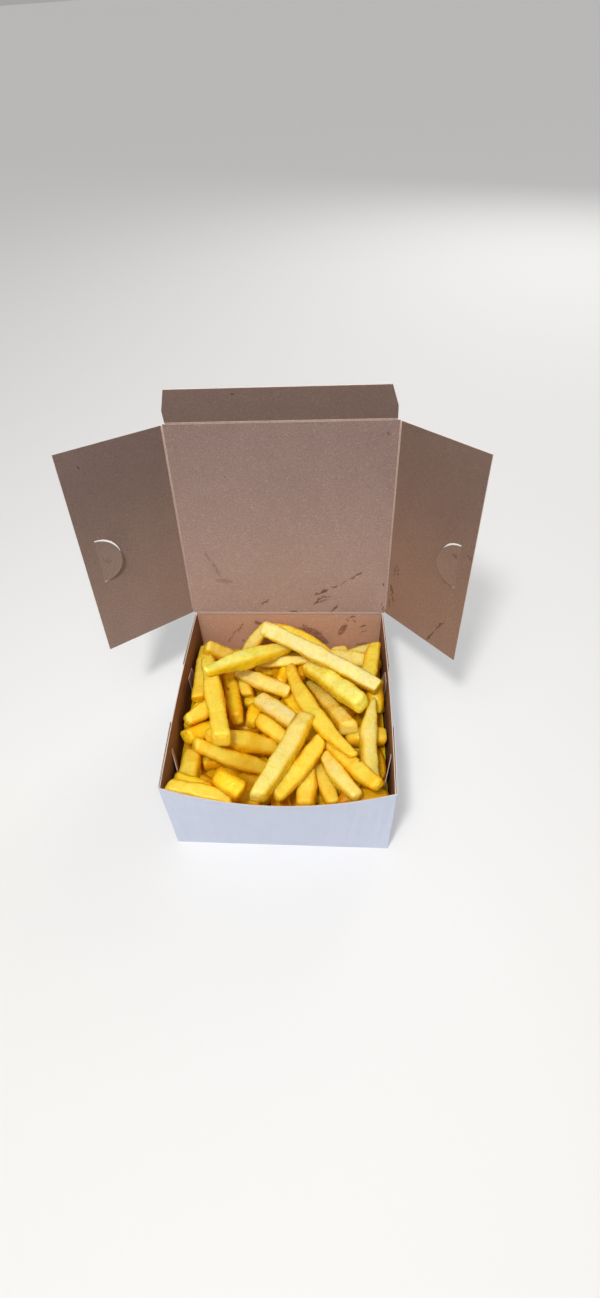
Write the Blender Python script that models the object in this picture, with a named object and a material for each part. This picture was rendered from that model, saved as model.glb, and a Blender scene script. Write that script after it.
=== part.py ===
"""French fries in an open folded carton, at real size.

Metres, +Z up. The origin is under the middle of the tray, on the surface that it stands on. The front
wall faces -Y, and the lid's crease runs along the back wall's top edge. The lid stands open, leaning
back a little, with its two side flaps and its front flap half folded.
"""
import math
import random

import bmesh
import bpy
import numpy as np
from mathutils import Matrix, Vector

MM = 0.001

# The board, and the half width of the groove that each crease leaves between two panels
BOARD = 0.5 * MM
CREASE = 0.5 * MM

# The tray: outside width, depth and height, and how far the fries push its walls out at the rim
TRAY_W = 129.4 * MM
TRAY_D = 137 * MM
TRAY_H = 65 * MM
FRONT_BULGE = 9.2 * MM
SIDE_BULGE = 1.2 * MM

# The corner tabs of the front and back walls wrap round outside the side walls
TAB_GAP_CORNER = 0.3 * MM
TAB_GAP_END = 0.5 * MM
FRONT_TAB_RIM = 44.5 * MM
FRONT_TAB_FOOT = 56 * MM
BACK_TAB_RIM = 46 * MM
BACK_TAB_FOOT = 58 * MM
CORNER_CHAMFER = 0.5 * MM

# The lid and its flaps; the angles are those of the photograph
LID_W = 131.4 * MM
LID_L = 132.5 * MM
LID_OPEN = math.radians(96)
SIDE_FLAP = 64 * MM
SIDE_FLAP_REACH = 2.3 * MM
SIDE_FLAP_START = 5 * MM
SIDE_FLAP_ROOT = 1 * MM
LEFT_FOLD = math.radians(44)
RIGHT_FOLD = math.radians(54)
FRONT_FLAP = 25 * MM
FRONT_FLAP_W = 117 * MM
FRONT_FLAP_SHOULDER = 10 * MM
FRONT_FLAP_SHOULDER_W = 126 * MM
FRONT_FOLD = math.radians(28)

# The half-round lock tab that is cut in each side flap: its base line's distance from the fold, its
# middle's distance from the lid's crease, its radius, the cut's width and the angle that it is pushed in
LOCK_BASE = 55 * MM
LOCK_MIDDLE = 67 * MM
LOCK_R = 14 * MM
LOCK_CUT = 0.6 * MM
LOCK_TILT = math.radians(14)

# The heap: its clearance to the tray, its hidden core, and the fries laid over the core first. Once all
# are laid the core is raised, to CORE_DEPTH under the lowest that shows within CORE_REACH cells.
CLEARANCE = 0.6 * MM
CORE_SIDES = 39 * MM
CORE_BACK = 30 * MM
CORE_FRONT = 24 * MM
CORE_MIDDLE = 9 * MM
CORE_DEPTH = 8 * MM
CORE_REACH = 5
HIDDEN_TRIES = 60
HIDDEN_RISE = 12 * MM
SEED = 7

# Where the photograph's camera was, for reading the fries' places off it
EYE = Vector((27.1, -235.6, 360.4)) * MM

# The fries that show, lowest first. Each row has both ends' x and y as the camera sees them against the
# plane of the tray's rim, the fry's thickness, and how far its middle bows to the side, in millimetres,
# and how far each end tapers, from 0 for a square cut to 10 for a point.
FRIES = (
    (-15, -82, 32, -82, 9, 0, 2, 2),
    (-22, -74, -8, -73, 8, 0, 1, 1),
    (-46, -62, -24, -72, 9, 0, 1, 1),
    (-48, -47, -49, -66, 11.5, 0, 1, 0),
    (-57, -61, -36, -69, 9, 0, 1, 1),
    (-60, -68, -24, -76, 10, 1, 1, 1),
    (-34, -59, -18, -70, 11, 0, 1, 1),
    (56, -43, 58, -60, 10, 0, 2, 4),
    (55, 8, 57, -14, 9, 0, 1, 1),
    (58, 8, 58, -15, 10.5, 0, 0, 6),
    (-34, -24, -12, -27, 9, 0, 2, 2),
    (-16, 16, -6, 14, 9, 0, 1, 1),
    (2, 20, -2, 6, 9, 0, 1, 1),
    (2, -1, 11, -18, 9, 0, 2, 3),
    (-15, -12, -18, -25, 10, 0, 1, 3),
    (35, -27, 47, -43, 9, 0, 2, 2),
    (20, -50, 31, -75, 10, 0, 3, 3),
    (27, 32, 40, 38, 9, 0, 2, 2),
    (40, 29, 56, 36, 8, 0, 2, 2),
    (-57, -30, -51, -6, 9, 0, 1, 1),
    (-58, -35, -37, -26, 10.5, 0, 1, 1),
    (-55, 36, -52, 12, 9, 0, 1, 1),
    (-54, 36, -53, -7, 10, 0, 3, 2),
    (44, -34, 60, -33, 9, 0, 1, 1),
    (38, -33, 60, -32, 11, 0, 1, 2),
    (-59, -23, -40, -7, 10.5, 0, 5, 1),
    (-27, 12, -21, -4, 10, 0, 2, 2),
    (-14, 60, -26, 33, 9, 0, 3, 1),
    (-53, 37, -30, 25, 10.5, 0, 2, 3),
    (-10, 58, 29, 33, 9, 2, 1, 1),
    (28, 30, 54, 25, 9.5, 0, 1, 1),
    (59, 39, 53, 12, 10.5, 0, 3, 0),
    (17, -54, 16, -78, 11, 0, 4, 1),
    (-49, -39, -7, -54, 11, -2, 4, 3),
    (-17, 22, 16, 26, 8, 0, 4, 3),
    (-29, 15, 4, -1, 10, 0, 2, 2),
    (-35, 12, -26, -22, 10.5, 0, 2, 2),
    (-42, -33, -2, -41, 11.5, 0, 4, 3),
    (-13, -22, 5, -36, 10.5, 0, 3, 1),
    (55, -5, 52, -58, 10.5, -3, 10, 2),
    (30, -38, 55, -64, 10, -1, 1, 4),
    (26, -46, 44, -71, 10.5, -1, 5, 4),
    (24, -35, 0, -72, 10.5, 1, 2, 4),
    (17, 6, 40, -27, 10, 0, 4, 0),
    (-15, -6, 8, -23, 11, 0, 1, 1),
    (-50, 27, -33, -37, 11, 0, 4, 1),
    (-50, 15, 1, 36, 11.5, 1, 7, 5),
    (15, 20, 48, -9, 12, 0, 2, 1),
    (4, 19, 42, -45, 11, -5.5, 5, 6),
    (16, -17, -10, -73, 12, 1, 2, 3),
    (-16, 54, 58, 4, 10, 2, 1, 1),
)

# How a fry comes to lie: where it starts from, how deep it sinks in what carries it, how steep it may
# stand, how far a wall may push it aside, and the spacing of the height map
HIGHEST = 90 * MM
PRESS = 3.2 * MM
STEEPEST = 1.2
NUDGE = 4 * MM
CELL = 1 * MM

# How much of a fry's thickness a pointed end loses, and the share of its length that tapers
TAPER_DEPTH = 0.7
TAPER_REACH = 0.4


def clear_scene():
    """Remove every object of the file that the script starts in."""
    for obj in list(bpy.data.objects):
        bpy.data.objects.remove(obj, do_unlink=True)


def material(name, colour, roughness):
    """A plain Principled material."""
    mat = bpy.data.materials.new(name)
    mat.use_nodes = True
    shader = mat.node_tree.nodes["Principled BSDF"]
    shader.inputs["Base Color"].default_value = (*colour, 1)
    shader.inputs["Roughness"].default_value = roughness
    shader.inputs["Metallic"].default_value = 0
    return mat


def link(name, mesh, mat):
    """Put a mesh in the scene as a named object."""
    mesh.materials.clear()
    mesh.materials.append(mat)
    obj = bpy.data.objects.new(name, mesh)
    bpy.context.scene.collection.objects.link(obj)
    return obj


def bm_to_mesh(bm, name):
    """Turn a bmesh into a mesh of triangles whose faces point out."""
    bmesh.ops.recalc_face_normals(bm, faces=bm.faces)
    bmesh.ops.triangulate(bm, faces=bm.faces)
    mesh = bpy.data.meshes.new(name)
    bm.to_mesh(mesh)
    bm.free()
    return mesh


def steps(start, end, count):
    """Evenly spaced values from start to end, both kept."""
    return [start + (end - start) * i / count for i in range(count + 1)]


# The tray's plan at a height, from 0 at its foot to 1 at its rim

def front_face(x, height):
    """The front wall's outer face."""
    half = TRAY_W / 2
    return -TRAY_D / 2 - FRONT_BULGE * height * max(0, 1 - (x / half) ** 2)


def side_face(y, height):
    """The side wall's outer face, which lies inside the corner tabs."""
    at_corner = TRAY_W / 2 - BOARD - TAB_GAP_CORNER
    return at_corner + SIDE_BULGE * height * max(0, 1 - (2 * y / TRAY_D) ** 2)


def tab_inside(y, height, length):
    """A corner tab's inner face, which springs off the side wall towards the tab's free end."""
    along = (TRAY_D / 2 - abs(y)) / length
    return side_face(y, height) + TAB_GAP_CORNER + (TAB_GAP_END - TAB_GAP_CORNER) * along


def half_outline(height):
    """The right half of the tray's outer plan, from the front wall's middle to the back wall's."""
    half_d = TRAY_D / 2
    corner = TRAY_W / 2
    points = []
    for x in steps(0, corner - CORNER_CHAMFER, 10):
        points.append((x, front_face(x, height)))
    lengths = []
    for rim, foot in ((FRONT_TAB_RIM, FRONT_TAB_FOOT), (BACK_TAB_RIM, BACK_TAB_FOOT)):
        lengths.append(foot + (rim - foot) * height)
    front_len, back_len = lengths
    tab_root = half_d - BOARD
    for y in steps(-half_d + CORNER_CHAMFER, -half_d + front_len, 4):
        points.append((tab_inside(y, height, front_len) + BOARD, y))
    for y in steps(-half_d + front_len, -tab_root, 4):
        points.append((tab_inside(y, height, front_len), y))
    for y in steps(-tab_root, tab_root, 12):
        points.append((side_face(y, height), y))
    for y in steps(tab_root, half_d - back_len, 4):
        points.append((tab_inside(y, height, back_len), y))
    for y in steps(half_d - back_len, half_d - CORNER_CHAMFER, 4):
        points.append((tab_inside(y, height, back_len) + BOARD, y))
    points.append((corner - CORNER_CHAMFER, half_d))
    points.append((0, half_d))
    return points


def half_room(height):
    """The right half of the plan of the space inside the tray."""
    half_d = TRAY_D / 2 - BOARD
    wall = side_face(half_d, height) - BOARD
    points = []
    for x in steps(0, wall, 10):
        points.append((x, front_face(x, height) + BOARD))
    start = points.pop()[1]
    for y in steps(start, half_d, 12):
        points.append((side_face(y, height) - BOARD, y))
    points.append((0, half_d))
    return points


def both_halves(points):
    """A closed plan from its right half, whose first and last points lie on the middle line."""
    left = [(-x, y) for x, y in reversed(points[1:-1])]
    return points + left


def ring(bm, plan, z):
    """A loop of vertices and edges at one height."""
    verts = [bm.verts.new((x, y, z)) for x, y in plan]
    edges = [bm.edges.new((verts[i - 1], verts[i])) for i in range(len(verts))]
    return verts, edges


def wall_between(bm, low, high):
    """Side faces between two loops with as many points."""
    for i in range(len(low)):
        bm.faces.new((low[i - 1], low[i], high[i], high[i - 1]))


def build_tray(mat):
    """The folded tray: a floor, four walls and the corner tabs outside the side walls, as one board."""
    bm = bmesh.new()
    foot, foot_edges = ring(bm, both_halves(half_outline(0)), 0)
    rim, rim_edges = ring(bm, both_halves(half_outline(1)), TRAY_H)
    floor, floor_edges = ring(bm, both_halves(half_room(BOARD / TRAY_H)), BOARD)
    lip, lip_edges = ring(bm, both_halves(half_room(1)), TRAY_H)
    wall_between(bm, foot, rim)
    wall_between(bm, lip, floor)
    for edges in (foot_edges, floor_edges, rim_edges + lip_edges):
        bmesh.ops.triangle_fill(bm, use_beauty=True, edges=edges)
    return link("tray", bm_to_mesh(bm, "tray"), mat)


def plate(outline, thickness):
    """A flat board in its own XY plane, with the crease's axis in the middle of its thickness."""
    bm = bmesh.new()
    low = [bm.verts.new((x, y, -thickness / 2)) for x, y in outline]
    face = bm.faces.new(low)
    grown = bmesh.ops.extrude_face_region(bm, geom=[face])
    top = [v for v in grown["geom"] if isinstance(v, bmesh.types.BMVert)]
    bmesh.ops.translate(bm, verts=top, vec=(0, 0, thickness))
    return bm


def half_round(radius, count=16):
    """Points of a half circle over a base line along Y, bulging towards +X."""
    angles = steps(-math.pi / 2, math.pi / 2, count)
    return [(radius * math.cos(a), radius * math.sin(a)) for a in angles]


def solid_object(bm, name):
    """A working object for a Boolean, kept out of the model."""
    obj = bpy.data.objects.new(name, bm_to_mesh(bm, name))
    obj.hide_render = True
    obj.display_type = "WIRE"
    bpy.context.scene.collection.objects.link(obj)
    return obj


def apply_boolean(obj, operation, tool):
    """Join or cut obj with an object or a collection of objects, which are then removed."""
    mod = obj.modifiers.new("fuse", "BOOLEAN")
    mod.operation = operation
    mod.solver = "EXACT"
    if isinstance(tool, bpy.types.Collection):
        mod.operand_type = "COLLECTION"
        mod.collection = tool
        spent = list(tool.objects)
    else:
        mod.object = tool
        spent = [tool]
    bpy.context.view_layer.update()
    depsgraph = bpy.context.evaluated_depsgraph_get()
    result = bpy.data.meshes.new_from_object(obj.evaluated_get(depsgraph))
    obj.modifiers.remove(mod)
    obj.data = result
    for item in spent:
        bpy.data.objects.remove(item, do_unlink=True)


def build_side_flap(name, side, mat):
    """A side flap, with its half-round lock tab cut round and pushed in towards the tray.

    side is -1 for the left flap and 1 for the right; x runs away from the fold and the inside is down.
    """
    outline = [
        (CREASE, -SIDE_FLAP_ROOT),
        (SIDE_FLAP, -SIDE_FLAP_START),
        (SIDE_FLAP, -LID_L - SIDE_FLAP_REACH),
        (CREASE, -LID_L + SIDE_FLAP_ROOT),
    ]
    flap = link(name, bm_to_mesh(plate(outline, BOARD), name), mat)
    base = Matrix.Translation((LOCK_BASE, -LOCK_MIDDLE, 0)) @ Matrix.Rotation(math.pi, 4, "Z")
    slot = plate(half_round(LOCK_R), 4 * BOARD)
    bmesh.ops.transform(slot, matrix=base, verts=slot.verts)
    apply_boolean(flap, "DIFFERENCE", solid_object(slot, name + "_slot"))
    overlap = 1 * MM
    arc = half_round(LOCK_R - LOCK_CUT)
    tongue = plate([(-overlap, arc[0][1])] + arc + [(-overlap, arc[-1][1])], BOARD)
    tilt = Matrix.Rotation(LOCK_TILT, 4, "Y")
    bmesh.ops.transform(tongue, matrix=base @ tilt, verts=tongue.verts)
    apply_boolean(flap, "UNION", solid_object(tongue, name + "_tongue"))
    if side < 0:
        flap.data.transform(Matrix.Scale(-1, 4, (1, 0, 0)))
        flap.data.flip_normals()
    return flap


def build_lid(mat):
    """The lid panel and its three flaps, each with its origin on its crease."""
    half_w = LID_W / 2
    panel = [(-half_w + CREASE, -CREASE), (-half_w + CREASE, -LID_L + CREASE),
             (half_w - CREASE, -LID_L + CREASE), (half_w - CREASE, -CREASE)]
    lid = link("lid", bm_to_mesh(plate(panel, BOARD), "lid"), mat)
    lid.location = (0, TRAY_D / 2 - BOARD / 2, TRAY_H + CREASE)
    lid.rotation_euler = (-LID_OPEN, 0, 0)

    left = build_side_flap("left_flap", -1, mat)
    left.parent = lid
    left.location = (-half_w, 0, 0)
    left.rotation_euler = (0, -LEFT_FOLD, 0)
    right = build_side_flap("right_flap", 1, mat)
    right.parent = lid
    right.location = (half_w, 0, 0)
    right.rotation_euler = (0, RIGHT_FOLD, 0)

    root, shoulder, end = LID_W - 4 * MM, FRONT_FLAP_SHOULDER_W, FRONT_FLAP_W
    outline = [(-root / 2, -CREASE), (-shoulder / 2, -FRONT_FLAP_SHOULDER), (-end / 2, -FRONT_FLAP),
               (end / 2, -FRONT_FLAP), (shoulder / 2, -FRONT_FLAP_SHOULDER), (root / 2, -CREASE)]
    front = link("front_flap", bm_to_mesh(plate(outline, BOARD), "front_flap"), mat)
    front.parent = lid
    front.location = (0, -LID_L, 0)
    front.rotation_euler = (FRONT_FOLD, 0, 0)


class Ground:
    """A height map of what the next fry comes down on."""

    def __init__(self):
        self.half = 80
        count = 2 * self.half + 1
        self.x, self.y = np.meshgrid(np.arange(count) - self.half, np.arange(count) - self.half)
        x, y = self.x * CELL, self.y * CELL
        self.z = core_height(x, y)

    def under(self, x, y):
        """The heights at some points."""
        i = np.clip(np.rint(x / CELL).astype(int) + self.half, 0, 2 * self.half)
        j = np.clip(np.rint(y / CELL).astype(int) + self.half, 0, 2 * self.half)
        return self.z[j, i]

    def lay(self, start, end, thickness):
        """Raise the ground where a fry now lies."""
        run = np.array(end[:2]) - np.array(start[:2])
        length = max(float(np.hypot(*run)), CELL)
        run = run / length
        x, y = self.x * CELL - start[0], self.y * CELL - start[1]
        along = x * run[0] + y * run[1]
        aside = np.abs(y * run[0] - x * run[1])
        top = start[2] + (end[2] - start[2]) * np.clip(along / length, 0, 1) + thickness / 2
        covered = (aside <= thickness / 2) & (along >= 0) & (along <= length)
        self.z = np.where(covered, np.maximum(self.z, top), self.z)


def core_height(x, y):
    """The top of the heap's hidden core, dished because more fries cross over the middle."""
    sides = (CORE_SIDES - CORE_MIDDLE) * (2 * x / TRAY_W) ** 2
    far = np.where(y > 0, CORE_BACK, CORE_FRONT)
    ends = (far - CORE_MIDDLE) * (2 * y / TRAY_D) ** 2
    return CORE_MIDDLE + np.maximum(sides, ends)


def along_sight(x, y, z):
    """The point at height z that the camera sees at x, y on the plane of the rim."""
    seen = Vector((x, y, TRAY_H))
    return EYE + (seen - EYE) * (EYE.z - z) / (EYE.z - TRAY_H)


def corners(start, end, thickness):
    """The corners of a fry's two ends."""
    ahead = (end - start).normalized()
    side = Vector((0, 0, 1)).cross(ahead).normalized()
    up = ahead.cross(side)
    signs = [(a, b) for a in (-1, 1) for b in (-1, 1)]
    return [p + (side * a + up * b) * thickness / 2 for p in (start, end) for a, b in signs]


def push_from_walls(start, end, thickness):
    """How far a fry has to move aside to be clear of the walls."""
    push = Vector((0, 0, 0))
    for corner in corners(start, end, thickness):
        height = max(0, min(corner.z / TRAY_H, 1))
        wall = side_face(corner.y, height) - BOARD - CLEARANCE
        back = TRAY_D / 2 - BOARD - CLEARANCE
        front = front_face(corner.x, height) + BOARD + CLEARANCE
        if corner.x > wall:
            push.x = min(push.x, wall - corner.x)
        if corner.x < -wall:
            push.x = max(push.x, -wall - corner.x)
        if corner.y > back:
            push.y = min(push.y, back - corner.y)
        if corner.y < front:
            push.y = max(push.y, front - corner.y)
    return push


def depth_in(ground, start, end, thickness):
    """How deep a fry's underside cuts into what lies under it."""
    t = np.linspace(0, 1, 25)
    run = end - start
    length = max(math.hypot(run.x, run.y), CELL)
    base = start.z + run.z * t - thickness / 2
    deepest = -1.0
    for offset in (-0.35, 0, 0.35):
        x = start.x + run.x * t - run.y / length * thickness * offset
        y = start.y + run.y * t + run.x / length * thickness * offset
        deepest = max(deepest, float(np.max(ground.under(x, y) - base)))
    return deepest


def settle(ground, place, thickness):
    """Lower a fry until it rests: both ends while it can, then either one, rocking it where that helps.

    place gives the ends for two heights. A fry that the walls hold off its line of sight by more than
    NUDGE stays above that height, as one that leans on a wall does.
    """
    def lie(heights):
        start, end = place(*heights)
        push = push_from_walls(start, end, thickness)
        run = end - start
        if push.length > NUDGE or abs(run.z) > STEEPEST * math.hypot(run.x, run.y):
            return None
        start, end = start + push, end + push
        if depth_in(ground, start, end, thickness) > PRESS:
            return None
        return start, end

    top = HIGHEST
    while not lie((top, top)):
        top -= CELL
        if top < thickness:
            return None
    heights = (top, top)
    for step in (4 * CELL, 2 * CELL, CELL, CELL / 2):
        moved = True
        while moved:
            moved = False
            for drop in ((step, step), (step, 0), (0, step), (step, -step / 2), (-step / 2, step)):
                lower = (heights[0] - drop[0], heights[1] - drop[1])
                if min(lower) > thickness / 2 and lie(lower):
                    heights = lower
                    moved = True
                    break
    start, end = lie(heights)
    ground.lay(start, end, thickness)
    return start, end


def hidden_fry(ground, rng):
    """Lay one fry at random over the core, or none where it finds no room or comes up too high."""
    thickness = rng.uniform(8.5, 10.5) * MM
    length = rng.uniform(30, 60) * MM
    turn = rng.uniform(0, math.pi)
    middle = Vector((rng.uniform(-58, 58), rng.uniform(-64, 62), 0)) * MM
    half = Vector((math.cos(turn), math.sin(turn), 0)) * length / 2

    def place(z1, z2):
        start, end = middle - half, middle + half
        start.z, end.z = z1, z2
        return start, end

    before = ground.z
    ends = settle(ground, place, thickness)
    if not ends:
        return None
    start, end = ends
    limit = max(float(core_height(p.x, p.y)) for p in ends) + HIDDEN_RISE
    if max(start.z, end.z) > limit:
        ground.z = before
        return None
    return start, end, thickness, 0, 1, 1


def seen_fry(ground, row):
    """Lay one of the fries that show, where the camera sees it."""
    x1, y1, x2, y2, thickness, bow = (value * MM for value in row[:6])

    def place(z1, z2):
        return along_sight(x1, y1, z1), along_sight(x2, y2, z2)

    ends = settle(ground, place, thickness)
    if not ends:
        return None
    start, end = ends
    return start, end, thickness, bow, *row[6:]


def lay_fries():
    """Lay every fry, lowest first. Gives the ground they end up as, and each one's ends and shape."""
    rng = random.Random(SEED)
    ground = Ground()
    laid = [hidden_fry(ground, rng) for _ in range(HIDDEN_TRIES)]
    laid += [seen_fry(ground, row) for row in FRIES]
    return ground, [fry for fry in laid if fry]


def cut_section(thickness, rng):
    """The eight-sided section of a square-cut stick with worn edges."""
    half_a = thickness / 2 * rng.uniform(0.96, 1.03)
    half_b = thickness / 2 * rng.uniform(0.96, 1.03)
    edge = 0.28 * min(half_a, half_b)
    corner = [(half_a, half_b - edge), (half_a - edge, half_b)]
    points = corner + [(-x, y) for x, y in reversed(corner)]
    return points + [(-x, -y) for x, y in points]


def taper(along, tip):
    """How thick a fry is towards an end, for the way along it from that end and how far the end tapers."""
    soft = 1 if along > 0.03 else 0.78
    return soft * (1 - TAPER_DEPTH * tip / 10 * max(0, 1 - along / TAPER_REACH))


def fry_solid(start, end, thickness, bow, tip1, tip2, rng):
    """One stick with few sides: a square section, softened and tapered ends and a bowed middle."""
    bm = bmesh.new()
    run = end - start
    ahead = run.normalized()
    side = Vector((0, 0, 1)).cross(ahead).normalized()
    up = ahead.cross(side)
    section = cut_section(thickness, rng)
    roll = Matrix.Rotation(rng.uniform(-0.2, 0.2), 3, ahead)
    loops = []
    for t in (0, 0.07, 0.22, 0.5, 0.78, 0.93, 1):
        size = taper(t, tip1) * taper(1 - t, tip2)
        centre = start + run * t + side * bow * (1 - (2 * t - 1) ** 2)
        loop = []
        for a, b in section:
            loop.append(bm.verts.new(centre + roll @ (side * a + up * b) * size))
        loops.append(loop)
    for low, high in zip(loops, loops[1:]):
        wall_between(bm, low, high)
    bm.faces.new(loops[0])
    bm.faces.new(loops[-1])
    return bm


def core_top(ground, x, y):
    """The top of the core once the fries are laid."""
    near = np.arange(-CORE_REACH, CORE_REACH + 1) * CELL
    lowest = float(np.min(ground.under(x + near[:, None], y + near[None, :])))
    return max(float(core_height(x, y)), lowest - CORE_DEPTH)


def core_solid(ground):
    """The heap's hidden core: a mound that fills the tray up to just under the fries that show."""
    count_x, count_y = 10, 10
    half_x = side_face(TRAY_D / 2, 0) - BOARD - CLEARANCE
    half_y = TRAY_D / 2 - BOARD - CLEARANCE
    bm = bmesh.new()
    bmesh.ops.create_grid(bm, x_segments=count_x, y_segments=count_y, size=1)
    for vert in bm.verts:
        x, y = vert.co.x * half_x, vert.co.y * half_y
        vert.co = (x, y, core_top(ground, x, y))
    rim = [e for e in bm.edges if e.is_boundary]
    grown = bmesh.ops.extrude_edge_only(bm, edges=rim)
    foot = [v for v in grown["geom"] if isinstance(v, bmesh.types.BMVert)]
    for vert in foot:
        vert.co.z = BOARD + CLEARANCE
    edges = [e for e in bm.edges if e.is_boundary]
    bmesh.ops.triangle_fill(bm, use_beauty=True, edges=edges)
    return bm


def volume_of(faces):
    """The signed volume inside a set of triangles."""
    total = 0.0
    for face in faces:
        a, b, c = (v.co for v in face.verts)
        total += a.cross(b).dot(c) / 6
    return total


def keep_largest(mesh):
    """Keep only the largest closed shell, which drops loose scraps and fills sealed hollows."""
    bm = bmesh.new()
    bm.from_mesh(mesh)
    bmesh.ops.triangulate(bm, faces=bm.faces)
    left = set(bm.faces)
    shells = []
    while left:
        stack = [left.pop()]
        shell = []
        while stack:
            face = stack.pop()
            shell.append(face)
            for edge in face.edges:
                for other in edge.link_faces:
                    if other in left:
                        left.remove(other)
                        stack.append(other)
        shells.append(shell)
    shells.sort(key=volume_of)
    extra = [face for shell in shells[:-1] for face in shell]
    bmesh.ops.delete(bm, geom=extra, context="FACES")
    bm.to_mesh(mesh)
    bm.free()


def build_fries(mat):
    """The heap: the core with the fries fused on, as one solid."""
    rng = random.Random(SEED + 1)
    pile = bpy.data.collections.new("pile")
    bpy.context.scene.collection.children.link(pile)
    ground, laid = lay_fries()
    for i, fry in enumerate(laid):
        obj = solid_object(fry_solid(*fry, rng), f"stick_{i:02d}")
        bpy.context.scene.collection.objects.unlink(obj)
        pile.objects.link(obj)
    heap = link("fries", bm_to_mesh(core_solid(ground), "fries"), mat)
    apply_boolean(heap, "UNION", pile)
    bpy.data.collections.remove(pile)
    keep_largest(heap.data)
    heap.data.materials.clear()
    heap.data.materials.append(mat)


def main():
    """Build the whole part."""
    clear_scene()
    board = material("board", (0.62, 0.42, 0.30), 0.8)
    potato = material("potato", (0.80, 0.60, 0.13), 0.6)
    build_tray(board)
    build_lid(board)
    build_fries(potato)


main()
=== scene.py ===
"""French fries in an open folded carton: the looks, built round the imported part, in metres."""
import math
import random
from itertools import cycle

import bmesh
import bpy
import numpy as np
from mathutils import Matrix, Vector, noise


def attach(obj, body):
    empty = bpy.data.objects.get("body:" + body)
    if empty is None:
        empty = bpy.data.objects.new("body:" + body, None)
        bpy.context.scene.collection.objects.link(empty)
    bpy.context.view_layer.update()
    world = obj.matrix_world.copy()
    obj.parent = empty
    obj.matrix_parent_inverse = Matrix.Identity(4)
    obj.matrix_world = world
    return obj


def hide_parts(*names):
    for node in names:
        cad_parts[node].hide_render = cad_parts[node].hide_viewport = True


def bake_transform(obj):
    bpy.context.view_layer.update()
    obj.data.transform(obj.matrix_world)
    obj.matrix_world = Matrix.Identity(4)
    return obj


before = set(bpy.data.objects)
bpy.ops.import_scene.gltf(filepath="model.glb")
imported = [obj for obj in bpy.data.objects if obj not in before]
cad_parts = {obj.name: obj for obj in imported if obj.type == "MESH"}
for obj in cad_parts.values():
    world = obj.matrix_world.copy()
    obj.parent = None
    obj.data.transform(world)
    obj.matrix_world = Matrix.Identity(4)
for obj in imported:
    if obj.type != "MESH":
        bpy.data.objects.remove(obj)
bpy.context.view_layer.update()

MM = 0.001

# The carton, as in the part
BOARD = 0.5 * MM
CREASE = 0.5 * MM
TRAY_W = 129.4 * MM
TRAY_D = 137 * MM
TRAY_H = 65 * MM
FRONT_BULGE = 9.2 * MM
SIDE_BULGE = 1.2 * MM
TAB_GAP_CORNER = 0.3 * MM
LID_W = 131.4 * MM
LID_L = 132.5 * MM
LID_OPEN = math.radians(96)
LEFT_FOLD = math.radians(44)
RIGHT_FOLD = math.radians(54)
FRONT_FOLD = math.radians(28)

# How far from closed the lid stops, and the room that the fries keep under it there
LID_LIMIT = math.radians(21)
LID_ROOM = 0.4 * MM

# The heap, as in the part: its seed, its clearance, its hidden core, and the fries that are laid first
SEED = 7
CLEARANCE = 0.6 * MM
CORE_SIDES = 39 * MM
CORE_BACK = 30 * MM
CORE_FRONT = 24 * MM
CORE_MIDDLE = 9 * MM
CORE_DEPTH = 8 * MM
CORE_REACH = 5
HIDDEN_TRIES = 60
HIDDEN_RISE = 12 * MM
HIDDEN_THICKNESS = (8.5, 10.5)
HIDDEN_LENGTH = (30, 60)

# The fries that fill the gaps under those that show, and where the middles of both kinds may lie
FILL_THICKNESS = (8.5, 10)
FILL_LENGTH = (26, 52)
MIDDLE_X = (-58, 58)
MIDDLE_Y = (-64, 62)

# How a filling fry is pushed up: the heights tried, how far it may press up and sink in the core, how
# many test points need a fry over them, how many cells an end may rise, and its test lines
FILL_TRIES = 420
FILL_TOP = 66 * MM
FILL_LOWEST = 12 * MM
FILL_PRESS = 1.5 * MM
FILL_SINK = 2 * MM
FILL_TOUCHING = 30
FILL_RISES = 12
FILL_LINES = (-0.4, 0, 0.4)

# How a fry is lowered: from how high, how deep it may press in, how steep it may lie, how far the walls
# may push it and the steps it takes
HIGHEST = 90 * MM
PRESS = 3.2 * MM
STEEPEST = 1.2
NUDGE = 4 * MM
CELL = 1 * MM
STEPS = (4 * CELL, 2 * CELL, CELL, CELL / 2)

# The height map's half width in cells, its test points and lines along a fry, and nothing overhead
MAP_HALF = 80
ALONG = np.linspace(0, 1, 25)
LINES = (-0.35, 0, 0.35)
NOTHING_OVER = 1.0

# How much thinner a pointed fry's tip is, and over what share of its length it tapers
TAPER_DEPTH = 0.7
TAPER_REACH = 0.4

# How far the fries that show are rolled towards the viewer, from 0 for flat to 1 for facing
FACING = 0.5

# The camera, fitted to the carton's corners in the photograph: its focal length and centre in pixels,
# the point that it turns about, its distance and angles, and so its place
PHOTO_W, PHOTO_H = 600, 1298
FOCAL_PX = 617.7
CENTRE_PX = (279.8, 649.7)
TARGET = Vector((0.1, 0, 102.8)) * MM
DISTANCE = 350.1 * MM
ELEVATION = math.radians(47.36)
AZIMUTH = math.radians(6.54)
ROLL = math.radians(-4.34)
EYE = Vector((27.1, -235.6, 360.4)) * MM

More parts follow.
